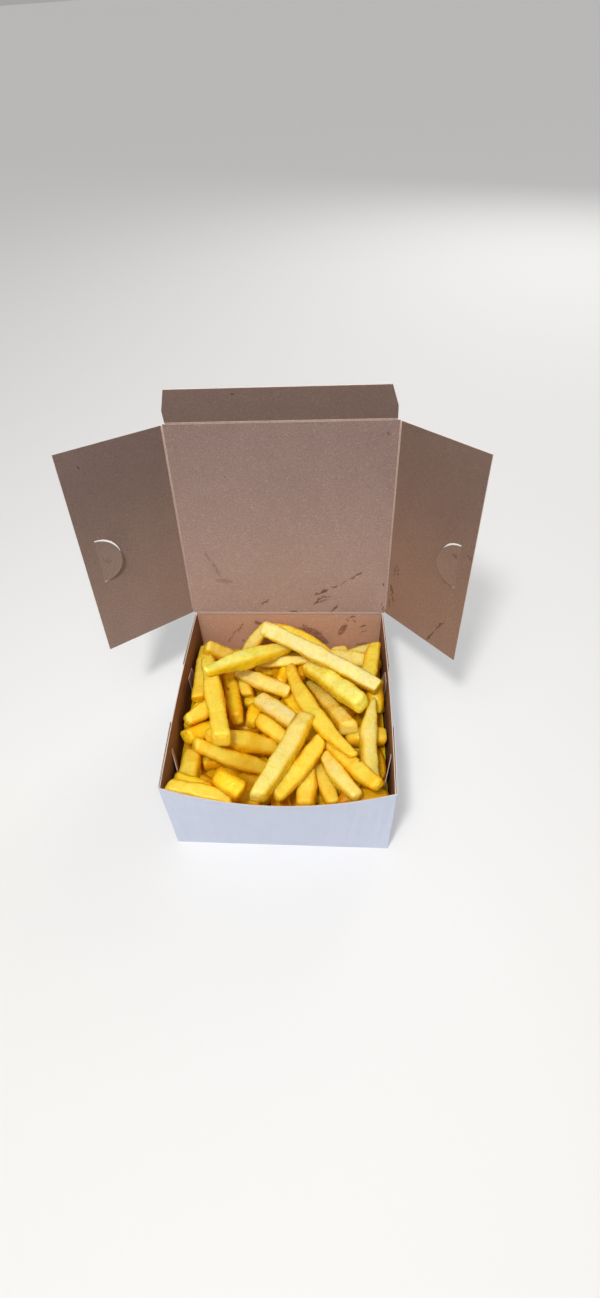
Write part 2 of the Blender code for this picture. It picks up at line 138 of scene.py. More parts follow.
# The fries that show, lowest first. Each row has both ends' x and y as the camera sees them against the
# plane of the tray's rim, the fry's thickness, how far its middle bows to the side, in millimetres, how
# far each end tapers, from 0 for a square cut to 10 for a point, and its colour.
# The fries that lie low in shade are given the deep colour, as painted shade.
FRIES = (
    (-15, -82, 32, -82, 9, 0, 2, 2, "gold"),
    (-22, -74, -8, -73, 8, 0, 1, 1, "gold"),
    (-46, -62, -24, -72, 9, 0, 1, 1, "deep"),
    (-48, -47, -49, -66, 11.5, 0, 1, 0, "yellow"),
    (-57, -61, -36, -69, 9, 0, 1, 1, "gold"),
    (-60, -68, -24, -76, 10, 1, 1, 1, "yellow"),
    (-34, -59, -18, -70, 11, 0, 1, 1, "gold"),
    (56, -43, 58, -60, 10, 0, 2, 4, "deep"),
    (55, 8, 57, -14, 9, 0, 1, 1, "deep"),
    (58, 8, 58, -15, 10.5, 0, 0, 6, "gold"),
    (-34, -24, -12, -27, 9, 0, 2, 2, "deep"),
    (-16, 16, -6, 14, 9, 0, 1, 1, "gold"),
    (2, 20, -2, 6, 9, 0, 1, 1, "gold"),
    (2, -1, 11, -18, 9, 0, 2, 3, "gold"),
    (-15, -12, -18, -25, 10, 0, 1, 3, "gold"),
    (35, -27, 47, -43, 9, 0, 2, 2, "gold"),
    (20, -50, 31, -75, 10, 0, 3, 3, "yellow"),
    (27, 32, 40, 38, 9, 0, 2, 2, "pale"),
    (40, 29, 56, 36, 8, 0, 2, 2, "pale"),
    (-57, -30, -51, -6, 9, 0, 1, 1, "gold"),
    (-58, -35, -37, -26, 10.5, 0, 1, 1, "gold"),
    (-55, 36, -52, 12, 9, 0, 1, 1, "gold"),
    (-54, 36, -53, -7, 10, 0, 3, 2, "yellow"),
    (44, -34, 60, -33, 9, 0, 1, 1, "deep"),
    (38, -33, 60, -32, 11, 0, 1, 2, "yellow"),
    (-59, -23, -40, -7, 10.5, 0, 5, 1, "yellow"),
    (-27, 12, -21, -4, 10, 0, 2, 2, "yellow"),
    (-14, 60, -26, 33, 9, 0, 3, 1, "pale"),
    (-53, 37, -30, 25, 10.5, 0, 2, 3, "pale"),
    (-10, 58, 29, 33, 9, 2, 1, 1, "yellow"),
    (28, 30, 54, 25, 9.5, 0, 1, 1, "pale"),
    (59, 39, 53, 12, 10.5, 0, 3, 0, "yellow"),
    (17, -54, 16, -78, 11, 0, 4, 1, "yellow"),
    (-49, -39, -7, -54, 11, -2, 4, 3, "yellow"),
    (-17, 22, 16, 26, 8, 0, 4, 3, "pale"),
    (-29, 15, 4, -1, 10, 0, 2, 2, "pale"),
    (-35, 12, -26, -22, 10.5, 0, 2, 2, "gold"),
    (-42, -33, -2, -41, 11.5, 0, 4, 3, "yellow"),
    (-13, -22, 5, -36, 10.5, 0, 3, 1, "yellow"),
    (55, -5, 52, -58, 10.5, -3, 10, 2, "pale"),
    (30, -38, 55, -64, 10, -1, 1, 4, "yellow"),
    (26, -46, 44, -71, 10.5, -1, 5, 4, "pale"),
    (24, -35, 0, -72, 10.5, 1, 2, 4, "yellow"),
    (17, 6, 40, -27, 10, 0, 4, 0, "pale"),
    (-15, -6, 8, -23, 11, 0, 1, 1, "cream"),
    (-50, 27, -33, -37, 11, 0, 4, 1, "yellow"),
    (-50, 15, 1, 36, 11.5, 1, 7, 5, "bright"),
    (15, 20, 48, -9, 12, 0, 2, 1, "bright"),
    (4, 19, 42, -45, 11, -5.5, 5, 6, "yellow"),
    (16, -17, -10, -73, 12, 1, 2, 3, "pale"),
    (-16, 54, 58, 4, 10, 2, 1, 1, "cream"),
)

# The colours of the fries: a cut face's, an edge's or a browned end's, and how browned the edges are
LOOKS = {
    "cream": ((0.87, 0.775, 0.375), (0.92, 0.68, 0.10), 0.3),
    "pale": ((0.89, 0.755, 0.26), (0.89, 0.60, 0.05), 0.45),
    "yellow": ((0.94, 0.72, 0.10), (0.90, 0.50, 0.01), 0.55),
    "bright": ((1.0, 0.89, 0.27), (1.0, 0.60, 0.01), 0.5),
    "gold": ((0.95, 0.69, 0.03), (0.90, 0.42, 0.002), 0.6),
    # deep also stands as painted shade, for fries that lie in shade and for the gaps between the fries
    "deep": ((0.80, 0.47, 0.008), (0.66, 0.28, 0.001), 0.7),
}


# Where things are

def rotated(angle, axis):
    """A turn about one axis."""
    return Matrix.Rotation(angle, 4, axis)


LID_FRAME = Matrix.Translation((0, TRAY_D / 2 - BOARD / 2, TRAY_H + CREASE)) @ rotated(-LID_OPEN, "X")
LEFT_FRAME = LID_FRAME @ Matrix.Translation((-LID_W / 2, 0, 0)) @ rotated(-LEFT_FOLD, "Y")
RIGHT_FRAME = LID_FRAME @ Matrix.Translation((LID_W / 2, 0, 0)) @ rotated(RIGHT_FOLD, "Y")
FRONT_FRAME = LID_FRAME @ Matrix.Translation((0, -LID_L, 0)) @ rotated(FRONT_FOLD, "X")
BACK_WALL_FRAME = Matrix.Translation((0, TRAY_D / 2 - BOARD, 0)) @ rotated(-math.pi / 2, "X")
LEFT_WALL_FRAME = Matrix.Translation((-TRAY_W / 2 + 1 * MM, 0, 0)) @ rotated(-math.pi / 2, "Y")


def add_object(name, data, material=None):
    """Put a mesh, a light or a camera in the scene."""
    if material:
        data.materials.append(material)
    obj = bpy.data.objects.new(name, data)
    bpy.context.scene.collection.objects.link(obj)
    return obj


def mesh_of(bm, name):
    """A mesh from a bmesh, which is freed."""
    mesh = bpy.data.meshes.new(name)
    bm.to_mesh(mesh)
    bm.free()
    return mesh


def smooth_mesh(name, points, faces):
    """A mesh from points and faces, shaded smooth."""
    mesh = bpy.data.meshes.new(name)
    mesh.from_pydata([tuple(p) for p in points], [], faces)
    mesh.polygons.foreach_set("use_smooth", np.ones(len(mesh.polygons), bool))
    return mesh


def camera_axes():
    """The camera's right, up and back directions."""
    level = math.cos(ELEVATION)
    back = Vector((math.sin(AZIMUTH) * level, -math.cos(AZIMUTH) * level, math.sin(ELEVATION)))
    right = Vector((math.cos(AZIMUTH), math.sin(AZIMUTH), 0))
    up = back.cross(right)
    cos, sin = math.cos(ROLL), math.sin(ROLL)
    return right * cos + up * sin, up * cos - right * sin, back


def sight_line(px, py):
    """The direction from the camera through a pixel of the photograph."""
    right, up, back = camera_axes()
    ahead = right * (px - CENTRE_PX[0]) / FOCAL_PX - up * (py - CENTRE_PX[1]) / FOCAL_PX - back
    return ahead.normalized()


def on_panel(px, py, panel):
    """Where a pixel's sight line meets the plane of a panel."""
    eye = TARGET + DISTANCE * camera_axes()[2]
    normal = panel.to_3x3() @ Vector((0, 0, 1))
    ahead = sight_line(px, py)
    return eye + ahead * (panel.translation - eye).dot(normal) / ahead.dot(normal)


# Node materials

class Nodes:
    """A node tree that is written as nested calls."""

    def __init__(self, name):
        self.material = bpy.data.materials.new(name)
        self.material.use_nodes = True
        self.tree = self.material.node_tree
        self.shader = self.tree.nodes["Principled BSDF"]

    def make(self, kind, **sockets):
        """Add a node, with its inputs by name and _ for a space."""
        node = self.tree.nodes.new("ShaderNode" + kind)
        for key, value in sockets.items():
            self.put(node.inputs[key.replace("_", " ")], value)
        return node

    def put(self, socket, value):
        """Link a socket to an output, or set its value."""
        if isinstance(value, bpy.types.NodeSocket):
            self.tree.links.new(value, socket)
        else:
            socket.default_value = value

    def surface(self, **sockets):
        """Set the shader's inputs in the same way."""
        for key, value in sockets.items():
            self.put(self.shader.inputs[key.replace("_", " ")], value)

    def operate(self, kind, operation, values):
        """Add a node that works on its inputs in turn."""
        node = self.make(kind)
        node.operation = operation
        for socket, value in zip(node.inputs, values):
            self.put(socket, value)
        return node

    def math(self, operation, *values):
        """Work on numbers."""
        return self.operate("Math", operation, values).outputs[0]

    def times(self, first, second):
        """A product."""
        return self.math("MULTIPLY", first, second)

    def vector(self, operation, *values):
        """Work on vectors, to a number or a vector."""
        node = self.operate("VectorMath", operation, values)
        return node.outputs["Value" if operation in ("DOT_PRODUCT", "LENGTH") else "Vector"]

    def axis(self, vector, name):
        """One of a vector's X, Y and Z."""
        return self.make("SeparateXYZ", Vector=vector).outputs[name]

    def attribute(self, name):
        """A value that the mesh holds."""
        node = self.make("Attribute")
        node.attribute_name = name
        return node

    def mix(self, factor, first, second, blend="MIX"):
        """Blend two colours."""
        node = self.make("Mix")
        node.data_type = "RGBA"
        node.blend_type = blend
        self.put(node.inputs[0], factor)
        self.put(node.inputs[6], rgba(first))
        self.put(node.inputs[7], rgba(second))
        return node.outputs[2]

    def tinted(self, colour, tint):
        """A colour times another."""
        return self.mix(1.0, colour, tint, "MULTIPLY")

    def noise(self, vector, scale, detail, roughness):
        """Noise from 0 to 1."""
        node = self.make("TexNoise", Vector=vector, Scale=scale, Detail=detail, Roughness=roughness)
        return node.outputs["Fac"]

    def ramp(self, value, low, high):
        """0 up to low, 1 from high on, and smooth between them."""
        node = self.make("MapRange")
        node.interpolation_type = "SMOOTHSTEP"
        for socket, item in zip(node.inputs, (value, low, high, 0.0, 1.0)):
            self.put(socket, item)
        return node.outputs[0]

    def bump(self, height, distance, strength):
        """Relief in the shading."""
        node = self.make("Bump", Height=height, Distance=distance, Strength=strength)
        self.surface(Normal=node.outputs["Normal"])


def rgba(colour):
    """A colour with its fourth number, or a socket as it is."""
    return (*colour, 1) if isinstance(colour, tuple) else colour


# The board: kraft brown inside, white outside, with a pale cut edge
KRAFT = (0.50, 0.345, 0.290)
KRAFT_DARK = (0.365, 0.240, 0.196)
KRAFT_LIGHT = (0.64, 0.475, 0.425)
WHITE = (0.59, 0.64, 0.775)
CUT = (0.66, 0.56, 0.50)
STAIN = (0.40, 0.27, 0.18)

# Painted light and shade on each panel's brown side, as a factor on its colour: at the height of the
# rim, at the lid's far crease, and on the tray's side walls low down and at the rim. The lid is painted
# darker towards its top, the flaps darker as they turn away from the light, the inside of the tray
# lighter, and its side walls darker low down near the fries
PAINTED_SHADES = {
    "lid": ((0.94, 0.95, 0.95), (0.58, 0.59, 0.63)),
    "left_flap": ((0.73, 0.73, 0.70), (0.405, 0.41, 0.43)),
    "right_flap": ((0.76, 0.67, 0.56), (0.43, 0.41, 0.395)),
    "front_flap": ((0.50, 0.515, 0.53), (0.50, 0.515, 0.53)),
    "tray": ((1.36, 1.24, 1.06), (1.36, 1.24, 1.06), (0.32, 0.20, 0.08), (0.72, 0.55, 0.37)),
}
# How far under the rim the painted shade on the side walls is at its darkest
WALL_DARK = 26 * MM

# Noises: the scale, the detail and the roughness
CLOUD = (60.0, 4.0, 0.6)
SPECK = (1500.0, 4.0, 0.75)
FIBRE = (1.0, 3.0, 0.6)
GRAIN = (900.0, 2.0, 0.5)
STAIN_EDGE = (330.0, 3.0, 0.6)

# Two directions that the fibres lie in: how the noise is squeezed and turned
FIBRES = (((500, 2400, 900), (0.3, 0.2, 0.6)), ((2200, 700, 500), (0.2, -0.4, -0.5)))

# How far a stain's edge wanders and how deep a stain reaches, and the board's relief
STAIN_SWAY = 4.5 * MM
STAIN_DEPTH = 4 * MM
BOARD_RELIEF = (0.06 * MM, 0.6)


def stain_mask(n, where, stained):
    """Grease stains on some panels, and a dark blotch beside a fry on the back wall, each along a line
    between two pixels of the photograph.

    Each row has both ends' pixels, the width in millimetres and how dark it is, from 0 to 1.
    """
    wobble = n.noise(where, *STAIN_EDGE).node.outputs["Color"]
    sway = n.vector("SCALE", n.vector("SUBTRACT", wobble, (0.5, 0.5, 0.5)))
    sway.node.inputs["Scale"].default_value = STAIN_SWAY
    moved = n.vector("ADD", where, sway)
    total = None
    for panel, (x1, y1, x2, y2, width, dark) in [(p, row) for p, rows in stained for row in rows]:
        start, end = on_panel(x1, y1, panel), on_panel(x2, y2, panel)
        along = (end - start).normalized()
        normal = (panel.to_3x3() @ Vector((0, 0, 1))).normalized()
        turn = Matrix((along, normal.cross(along), normal)).transposed()
        half = (end - start).length / 2 + width * MM / 2
        node = n.make("Mapping", Vector=moved, Location=(start + end) / 2, Rotation=turn.to_euler(),
                      Scale=(half, width * MM / 2, STAIN_DEPTH))
        node.vector_type = "TEXTURE"
        inside = n.times(n.ramp(n.vector("LENGTH", node.outputs[0]), 1.15, 0.85), dark)
        total = inside if total is None else n.math("MAXIMUM", total, inside)
    return total


def board_material(name, inside, stained, painted_shades):
    """Board whose brown and white sides are where the two masks of inside(n, place, normal) are 1."""
    n = Nodes(name)
    coords = n.make("TexCoord")
    where, normal = coords.outputs["Object"], coords.outputs["Normal"]
    brown, white = inside(n, where, normal)
    cloud, speck, grain = (n.noise(where, *kind) for kind in (CLOUD, SPECK, GRAIN))
    fibres = []
    for squeeze, turn in FIBRES:
        squeezed = n.make("Mapping", Vector=where, Scale=squeeze, Rotation=turn)
        fibres.append(n.noise(squeezed.outputs[0], *FIBRE))
    kraft = n.mix(n.ramp(speck, 0.36, 0.66), KRAFT_DARK, KRAFT)
    kraft = n.mix(n.times(n.ramp(fibres[0], 0.56, 0.74), 0.55), kraft, KRAFT_LIGHT)
    kraft = n.mix(n.times(n.ramp(fibres[1], 0.58, 0.78), 0.45), kraft, KRAFT_DARK)
    kraft = n.mix(n.ramp(cloud, 0.2, 0.8), n.tinted(kraft, (0.93, 0.92, 0.92)), kraft)
    mask = n.times(stain_mask(n, where, stained), n.ramp(grain, 0.25, 0.5))
    kraft = n.mix(mask, kraft, n.tinted(kraft, STAIN))
    # Painted light and shade: the brown side is made darker or lighter by height and, on the tray,
    # darker on the side walls low down
    height = n.axis(where, "Z")
    shade = n.mix(n.ramp(height, LID_FRAME.translation.z, FRONT_FRAME.translation.z), *painted_shades[:2])
    if len(painted_shades) > 2:
        wall = n.mix(n.ramp(height, TRAY_H - WALL_DARK, TRAY_H), *painted_shades[2:])
        aside = n.ramp(n.math("ABSOLUTE", n.axis(normal, "X")), 0.4, 0.6)
        shade = n.mix(aside, shade, wall)
    kraft = n.tinted(kraft, shade)
    paper = n.mix(n.ramp(cloud, 0.3, 0.7), WHITE, n.tinted(WHITE, (0.97, 0.97, 0.98)))
    colour = n.mix(white, n.mix(brown, CUT, kraft), paper)
    rough = n.math("SUBTRACT", 0.82, n.times(white, 0.3))
    n.surface(Base_Color=colour, Roughness=rough, Specular_IOR_Level=0.3)
    relief = n.times(n.math("ADD", speck, fibres[0]), n.math("SUBTRACT", 1.0, white))
    n.bump(n.math("ADD", relief, n.times(cloud, 1.5)), *BOARD_RELIEF)
    return n.material


def panel_sides(panel):
    """The brown and the white side of a flat panel whose inside is down in its own frame."""
    inward = panel.to_3x3() @ Vector((0, 0, -1))

    def sides(n, where, normal):
        facing = n.vector("DOT_PRODUCT", normal, tuple(inward))
        return n.ramp(facing, 0.45, 0.55), n.ramp(facing, -0.45, -0.55)
    return sides


def tray_sides(n, where, normal):
    """The tray is brown on the faces that look in or up, and white on those that look out or down."""
    flat = n.vector("MULTIPLY", where, (1 / TRAY_W ** 2, 1 / TRAY_D ** 2, 0))
    outward = n.vector("DOT_PRODUCT", flat, normal)
    up = n.axis(normal, "Z")
    level = n.math("GREATER_THAN", n.math("ABSOLUTE", up), 0.7)
    upright = n.math("SUBTRACT", 1.0, level)
    wall_in = n.times(n.math("LESS_THAN", outward, 0.0), upright)
    wall_out = n.times(n.math("GREATER_THAN", outward, 0.0), upright)
    low = n.math("LESS_THAN", n.axis(where, "Z"), TRAY_H / 2)
    floor_in = n.times(n.times(level, n.math("GREATER_THAN", up, 0.0)), low)
    floor_out = n.times(level, n.math("LESS_THAN", up, 0.0))
    return n.math("MAXIMUM", wall_in, floor_in), n.math("MAXIMUM", wall_out, floor_out)


# Stains read off the photograph: both ends in its pixels, the width in millimetres, and the darkness
LID_STAINS = (
    (204, 550, 210, 560, 2.0, 0.3), (213, 562, 219, 575, 2.6, 0.34), (217, 580, 230, 581, 3.0, 0.34),
    (375, 531, 379, 526, 0.7, 0.4), (362, 572, 350, 579, 1.0, 0.9), (346, 581, 341, 584, 1.1, 0.7),
    (337, 586, 331, 587, 1.3, 0.9), (327, 590, 315, 595, 1.8, 0.9), (314, 604, 322, 597, 1.7, 0.9),
    (321, 597, 331, 596, 1.2, 0.8), (319, 602, 329, 599, 0.9, 0.7), (263, 603, 268, 600, 2.2, 0.8),
    (332, 611, 338, 606, 1.6, 0.9), (288, 612, 297, 611, 1.5, 1.0), (384, 582, 383, 585, 1.0, 0.9),
    (389, 433, 390, 434, 1.0, 0.9), (224, 476, 225, 477, 0.8, 0.7), (382, 604, 384, 611, 1.0, 0.8),
)
RIGHT_STAINS = (
    (397, 565, 394, 576, 1.2, 0.6), (399, 568, 398, 577, 0.8, 0.6), (391, 586, 393, 592, 2.4, 0.8),
    (392, 594, 394, 603, 1.2, 0.7), (390, 599, 389, 606, 1.0, 0.6), (444, 622, 436, 628, 1.2, 0.9),
    (434, 631, 427, 639, 1.0, 0.8), (455, 555, 458, 557, 2.2, 0.5), (469, 556, 472, 560, 2.0, 0.4),
)
LEFT_STAINS = ((104, 560, 108, 560, 3.0, 0.25), (77, 467, 78, 468, 1.2, 0.9))
FRONT_STAINS = ((232, 393, 233, 393, 1.0, 0.9),)
BACK_WALL_MARKS = (
    # The first two rows are a dark blotch along a fry's edge, darkened in the same way as the stains
    (304, 629, 318, 634, 6.5, 0.75), (314, 635, 326, 642, 5.5, 0.75), (340, 633, 345, 626, 4.4, 0.8),
    (303, 625, 307, 626, 1.2, 0.9), (242, 625, 238, 631, 1.8, 0.6), (236, 630, 233, 635, 1.2, 0.6),
    (232, 636, 229, 643, 1.1, 0.7), (243, 640, 245, 642, 1.8, 0.8), (256, 622, 260, 624, 2.2, 0.8),
    (350, 617, 354, 616, 1.4, 0.9), (347, 619, 349, 622, 1.0, 0.8), (360, 627, 366, 625, 1.5, 0.9),
    (352, 620, 356, 622, 0.9, 0.8), (356, 645, 366, 643, 2.4, 0.7), (287, 613, 297, 612, 1.4, 1.0),
    (362, 632, 366, 630, 1.2, 0.7),
)
LEFT_WALL_STAINS = ((188, 664, 186, 680, 1.6, 0.9), (186, 682, 184, 694, 1.4, 0.8))


# The lie of the fries, as in the part

def front_face(x, height):
    """The front wall's outer face."""
    half = TRAY_W / 2
    return -TRAY_D / 2 - FRONT_BULGE * height * max(0, 1 - (x / half) ** 2)


def side_face(y, height):
    """The side wall's outer face, which lies inside the corner tabs."""
    at_corner = TRAY_W / 2 - BOARD - TAB_GAP_CORNER
    return at_corner + SIDE_BULGE * height * max(0, 1 - (2 * y / TRAY_D) ** 2)


class Ground:
    """A height map of what the next fry comes down on."""

    def __init__(self):
        cells = np.arange(2 * MAP_HALF + 1) - MAP_HALF
        self.x, self.y = np.meshgrid(cells, cells)
        self.z = core_height(self.x * CELL, self.y * CELL)

    def under(self, x, y):
        """The heights at some points."""
        i, j = (np.clip(np.rint(v / CELL).astype(int) + MAP_HALF, 0, 2 * MAP_HALF) for v in (x, y))
        return self.z[j, i]

    def covered(self, start, end, thickness):
        """The cells that a fry covers, and the height of its middle line over each."""
        run = np.array(end[:2]) - np.array(start[:2])
        length = max(float(np.hypot(*run)), CELL)
        run = run / length
        x, y = self.x * CELL - start[0], self.y * CELL - start[1]
        along = x * run[0] + y * run[1]
        aside = np.abs(y * run[0] - x * run[1])
        middle = start[2] + (end[2] - start[2]) * np.clip(along / length, 0, 1)
        return (aside <= thickness / 2) & (along >= 0) & (along <= length), middle

    def lay(self, start, end, thickness):
        """Raise the ground where a fry now lies."""
        cells, middle = self.covered(start, end, thickness)
        self.z = np.where(cells, np.maximum(self.z, middle + thickness / 2), self.z)

    def hang(self, start, end, thickness):
        """Lower a cover, which is a map of what lies overhead, where a fry now lies."""
        cells, middle = self.covered(start, end, thickness)
        self.z = np.where(cells, np.minimum(self.z, middle - thickness / 2), self.z)


def core_height(x, y):
    """The top of the heap's hidden core, dished because more fries cross over the middle."""
    sides = (CORE_SIDES - CORE_MIDDLE) * (2 * x / TRAY_W) ** 2
    far = np.where(y > 0, CORE_BACK, CORE_FRONT)
    ends = (far - CORE_MIDDLE) * (2 * y / TRAY_D) ** 2
    return CORE_MIDDLE + np.maximum(sides, ends)


def along_sight(x, y, z):
    """The point at height z that the camera sees at x, y on the plane of the rim."""
    seen = Vector((x, y, TRAY_H))
    return EYE + (seen - EYE) * (EYE.z - z) / (EYE.z - TRAY_H)


def corners(start, end, thickness):
    """The corners of a fry's two ends."""
    ahead = (end - start).normalized()
    side = Vector((0, 0, 1)).cross(ahead).normalized()
    up = ahead.cross(side)
    signs = [(a, b) for a in (-1, 1) for b in (-1, 1)]
    return [p + (side * a + up * b) * thickness / 2 for p in (start, end) for a, b in signs]


def pushed(push, value, low, high):
    """A push that also brings a value to between two limits."""
    if value > high:
        push = min(push, high - value)
    if value < low:
        push = max(push, low - value)
    return push


def push_from_walls(start, end, thickness):
    """How far a fry has to move aside to be clear of the walls."""
    push = Vector((0, 0, 0))
    for corner in corners(start, end, thickness):
        height = max(0, min(corner.z / TRAY_H, 1))
        wall = side_face(corner.y, height) - BOARD - CLEARANCE
        back = TRAY_D / 2 - BOARD - CLEARANCE
        front = front_face(corner.x, height) + BOARD + CLEARANCE
        push.x = pushed(push.x, corner.x, -wall, wall)
        push.y = pushed(push.y, corner.y, front, back)
    return push


def lines_along(start, run, direction, thickness, offsets):
    """The x and y of points in a few lines along a fry."""
    for offset in offsets:
        yield (start.x + run.x * ALONG - direction[1] * thickness * offset,
               start.y + run.y * ALONG + direction[0] * thickness * offset)


def depth_in(ground, start, end, thickness):
    """How deep a fry's underside cuts into what lies under it."""
    run = end - start
    length = max(math.hypot(run.x, run.y), CELL)
    base = start.z + run.z * ALONG - thickness / 2
    lines = lines_along(start, run, (run.x / length, run.y / length), thickness, LINES)
    return max(float(np.max(ground.under(x, y) - base)) for x, y in lines)


def settle(ground, place, thickness):
    """Lower a fry until it rests: both ends, then either one, rocking it where that helps."""
    def lie(heights):
        start, end = place(*heights)
        push = push_from_walls(start, end, thickness)
        run = end - start
        if push.length > NUDGE or abs(run.z) > STEEPEST * math.hypot(run.x, run.y):
            return None
        start, end = start + push, end + push
        if depth_in(ground, start, end, thickness) > PRESS:
            return None
        return start, end

    top = HIGHEST
    while not lie((top, top)):
        top -= CELL
        if top < thickness:
            return None
    heights = (top, top)
    for step in STEPS:
        moved = True
        while moved:
            moved = False
            for drop in ((step, step), (step, 0), (0, step), (step, -step / 2), (-step / 2, step)):
                lower = (heights[0] - drop[0], heights[1] - drop[1])
                if min(lower) > thickness / 2 and lie(lower):
                    heights = lower
                    moved = True
                    break
    start, end = lie(heights)
    ground.lay(start, end, thickness)
    return start, end


def random_fry(rng, thicknesses, lengths):
    """A fry at random: its thickness, half of its run, and where its ends are for their two heights."""
    thickness = rng.uniform(*thicknesses) * MM
    length = rng.uniform(*lengths) * MM
    turn = rng.uniform(0, math.pi)
    middle = Vector((rng.uniform(*MIDDLE_X), rng.uniform(*MIDDLE_Y), 0)) * MM
    half = Vector((math.cos(turn), math.sin(turn), 0)) * length / 2

    def place(z1, z2):
        start, end = middle - half, middle + half
        start.z, end.z = z1, z2
        return start, end
    return thickness, half, place


def hidden_fry(ground, rng):
    """Lay one fry at random over the core, or none where it finds no room or comes up too high."""
    thickness, _, place = random_fry(rng, HIDDEN_THICKNESS, HIDDEN_LENGTH)
    before = ground.z
    ends = settle(ground, place, thickness)
    if not ends:
        return None
    start, end = ends
    limit = max(float(core_height(p.x, p.y)) for p in ends) + HIDDEN_RISE
    if max(start.z, end.z) > limit:
        ground.z = before
        return None
    return start, end, thickness, 0, 1, 1


def seen_fry(ground, row):
    """Lay one of the fries that show, where the camera sees it."""
    x1, y1, x2, y2, thickness, bow = (value * MM for value in row[:6])

    def place(z1, z2):
        return along_sight(x1, y1, z1), along_sight(x2, y2, z2)

    ends = settle(ground, place, thickness)
    if not ends:
        return None
    start, end = ends
    return start, end, thickness, bow, *row[6:8]


def fill_fry(cover, rng):
    """Push one fry up from below until it meets what lies over it, or none where nothing does."""
    thickness, half, place = random_fry(rng, FILL_THICKNESS, FILL_LENGTH)
    direction = (half.x / half.length, half.y / half.length)

    def lie(z1, z2):
        start, end = place(z1, z2)
        push = push_from_walls(start, end, thickness)
        start, end = start + push, end + push
        run = end - start
        top_side = start.z + run.z * ALONG + thickness / 2
        fits, touching = True, 0
        for x, y in lines_along(start, run, direction, thickness, FILL_LINES):
            over = cover.under(x, y)
            fits = fits and float(np.min(over - top_side)) > -FILL_PRESS
            touching += int(np.sum(over < NOTHING_OVER))
        return fits, touching, (start, end)

    top = FILL_TOP
    while top > FILL_LOWEST and not lie(top, top)[0]:
        top -= CELL
    fits, touching, (start, end) = lie(top, top)
    base = max(float(core_height(p.x, p.y)) for p in (start, end, (start + end) / 2))
    if not fits or touching < FILL_TOUCHING or top < base - FILL_SINK:
        return None
    heights = [top, top]
    for side in (0, 1):
        for _ in range(FILL_RISES):
            higher = list(heights)
            higher[side] += CELL
            if not lie(*higher)[0]:
                break
            heights = higher
    start, end = lie(*heights)[2]
    cover.hang(start, end, thickness)
    return start, end, thickness, 0, 2, 2


def lay_fries():
    """Lay every fry: the ground they end up as, and the hidden, seen and filling ones."""
    rng = random.Random(SEED)
    ground = Ground()
    hidden = [hidden_fry(ground, rng) for _ in range(HIDDEN_TRIES)]
    seen = [seen_fry(ground, row) for row in FRIES]
    cover = Ground()
    cover.z = np.full(ground.z.shape, NOTHING_OVER)
    for fry in seen:
        cover.hang(*fry[:3])
    fill_rng = random.Random(SEED + 2)
    fill = [fill_fry(cover, fill_rng) for _ in range(FILL_TRIES)]
    return ground, [f for f in hidden if f], seen, [f for f in fill if f]


# One fry

# Its shape: how its size, roll, twist, squareness, slant and sway vary, how its ends shrink and where
# their rings lie, how it swells along its length, and the shares and scales of its relief
FRY_SIZE = (0.97, 1.05)
FRY_ROLL = 0.22
FRY_TWIST = 0.16
FRY_SQUARE = (0.47, 0.62)
FRY_SLANT = 0.42
SLANT_REACH = 1.1
FRY_SWAY = 0.7
END_SIZE = 0.70
END_SOFT = 2.4 * MM
END_RINGS = (0, 0.06, 0.16, 0.32, 0.55, 0.8, 1.1)
END_MOST = 0.2
SWELL = 0.16
SWELL_SCALE = 0.07
RELIEF = ((0.75, 0.09), (0.42, 0.24), (0.12, 0.7))
NOISE_SPREAD = 90

# Its ends' two inner rings, each with its size and bulge, and their relief
END_CAPS = ((0.8, 0.38), (0.42, 0.5))
CAP_RELIEF = 0.7
CAP_SCALE = 0.3
CAP_TIP = 0.5

# Where it is browned: on corners this sharp, on its ends and in patches
CORNERS = (0.70, 1.0)
BROWN_END = (0.5 * MM, 9 * MM)
END_BROWN = 0.9
PATCHES = (0.05, 0.55)
PATCH_SCALE = 0.11
PATCH_BROWN = 0.5
CAP_PALE = 0.4

# Rings, sides and relief in millimetres of the fries that show and of those under them
SHOWN = (34, 28, 1.0)
UNDER = (10, 16, 0.8)
# The filling fries' colours, deep golden as painted shade in the gaps between the fries that show
FILL_LOOKS = ("gold", "deep", "yellow", "deep")


def taper(along, tip):
    """How thick a fry is at a share of its length from an end that tapers by tip."""
    return 1 - TAPER_DEPTH * tip / 10 * max(0, 1 - along / TAPER_REACH)


def smooth(low, high, value):
    """0 up to low, 1 from high on, and smooth between them."""
    t = min(1.0, max(0.0, (value - low) / (high - low)))
    return t * t * (3 - 2 * t)


def end_stations(count, length):
    """Where the rings lie along a fry, closer together at its ends, as shares of its length."""
    near = [min(END_MOST, s * END_SOFT / length) for s in END_RINGS]
    middle = [near[-1] + (1 - 2 * near[-1]) * i / count for i in range(1, count)]
    return near + middle + [1 - s for s in reversed(near)]


def either_way(rng, most):
    """A number at random, up to most either way."""
    return rng.uniform(-most, most)


